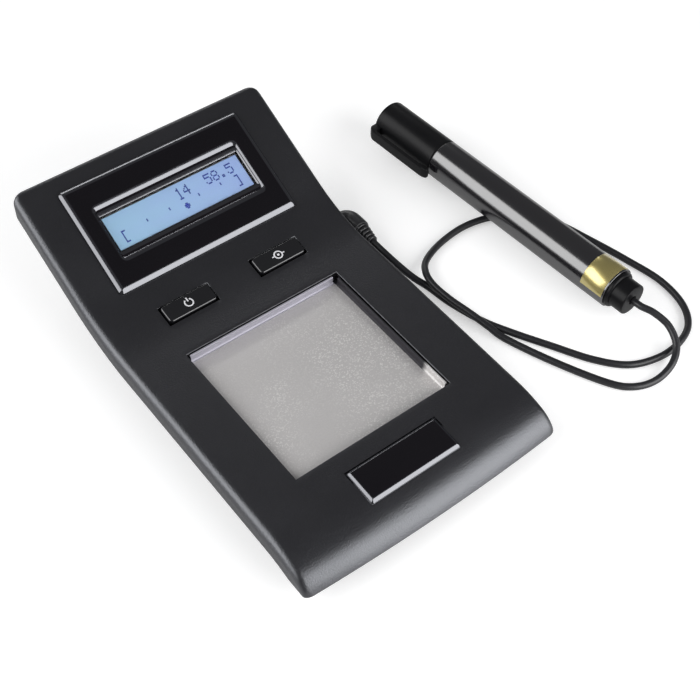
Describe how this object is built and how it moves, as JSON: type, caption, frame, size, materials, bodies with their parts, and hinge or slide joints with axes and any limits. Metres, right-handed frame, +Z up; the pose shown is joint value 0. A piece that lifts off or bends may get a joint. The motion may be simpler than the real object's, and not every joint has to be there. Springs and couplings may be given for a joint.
{
  "type": "electronic gold tester",
  "caption": "Counter-top gold tester with sloped display, two push buttons, metal test plate and a corded probe pen with cap.",
  "frame": {"origin": "middle of the underside of the lower housing; the feet reach 2 mm below it", "axes": "+X to the right, +Y to the back, where the display slope rises, +Z up"},
  "size_m": [0.2136, 0.2013, 0.0458],
  "materials": {
    "housing_black": "fine texture, dark",
    "bezel_black": "satin gloss",
    "window": "clear",
    "module_metal": "black coated steel",
    "display_blue": "lit, pale blue",
    "light_guide": "white",
    "board_green": "lacquered",
    "ribbon_grey": "grey",
    "switch_black": "plain",
    "button_black": "satin gloss",
    "plate_steel": "satin, finely worn",
    "contact_brass": "bright",
    "contact_steel": "bright",
    "cell_wrap": "printed sleeve, bare",
    "lead_red": "red insulation",
    "foot_rubber": "matte",
    "screw_steel": "plated",
    "plug_rubber": "soft moulding",
    "cord_rubber": "satin",
    "pen_gloss": "high gloss",
    "label_gold": "satin gold foil",
    "reservoir_white": "milky",
    "nose_black": "plain",
    "tip_white": "porous felt"
  },
  "bodies": {
    "root": {"upper_housing": "housing_black", "lower_housing": "housing_black", "display_bezel": "bezel_black", "front_badge": "bezel_black", "display_lens": "window", "lcd_frame": "module_metal", "lcd_glass": "display_blue", "lcd_light_guide": "light_guide", "lcd_board": "board_green", "main_board": "board_green", "lcd_cable": "ribbon_grey", "mode_switch": "switch_black", "cal_switch": "switch_black", "test_plate": "plate_steel", "plate_contact": "contact_brass", "probe_socket": "contact_steel", "battery_cells": "cell_wrap", "battery_contacts": "contact_steel", "battery_leads": "lead_red", "rubber_feet": "foot_rubber", "housing_screws": "screw_steel", "board_screws": "screw_steel"},
    "mode_button": {"mode_button": "button_black"},
    "cal_button": {"cal_button": "button_black"},
    "battery_door": {"battery_door": "housing_black"},
    "probe_lead": {"probe_plug": "plug_rubber", "plug_pin": "contact_steel", "strain_relief": "plug_rubber", "probe_cord": "cord_rubber", "pen_barrel": "pen_gloss", "pen_collar": "pen_gloss", "pen_end_plug": "pen_gloss", "pen_label": "label_gold", "pen_electrode": "contact_steel", "pen_reservoir": "reservoir_white", "pen_nose": "nose_black", "pen_tip": "tip_white"},
    "pen_cap": {"pen_cap": "pen_gloss"}
  },
  "joints": [
    {"name": "mode_press", "type": "slide", "parent": "root", "child": "mode_button", "axis": [0, 0.1582, -0.9874], "range_m": [0, 0.0005], "stiffness_N_per_m": 400, "springref_m": -0.0005},
    {"name": "cal_press", "type": "slide", "parent": "root", "child": "cal_button", "axis": [0, 0.1582, -0.9874], "range_m": [0, 0.0005], "stiffness_N_per_m": 400, "springref_m": -0.0005},
    {"name": "door_slide", "type": "slide", "parent": "root", "child": "battery_door", "axis": [0, 1, 0], "range_m": [0, 0.035]},
    {"name": "plug_pull", "type": "slide", "parent": "root", "child": "probe_lead", "axis": [1, 0, 0], "range_m": [0, 0.015]},
    {"name": "cap_pull", "type": "slide", "parent": "probe_lead", "child": "pen_cap", "axis": [-0.0695, 0.9976, 0], "range_m": [0, 0.045]}
  ]
}
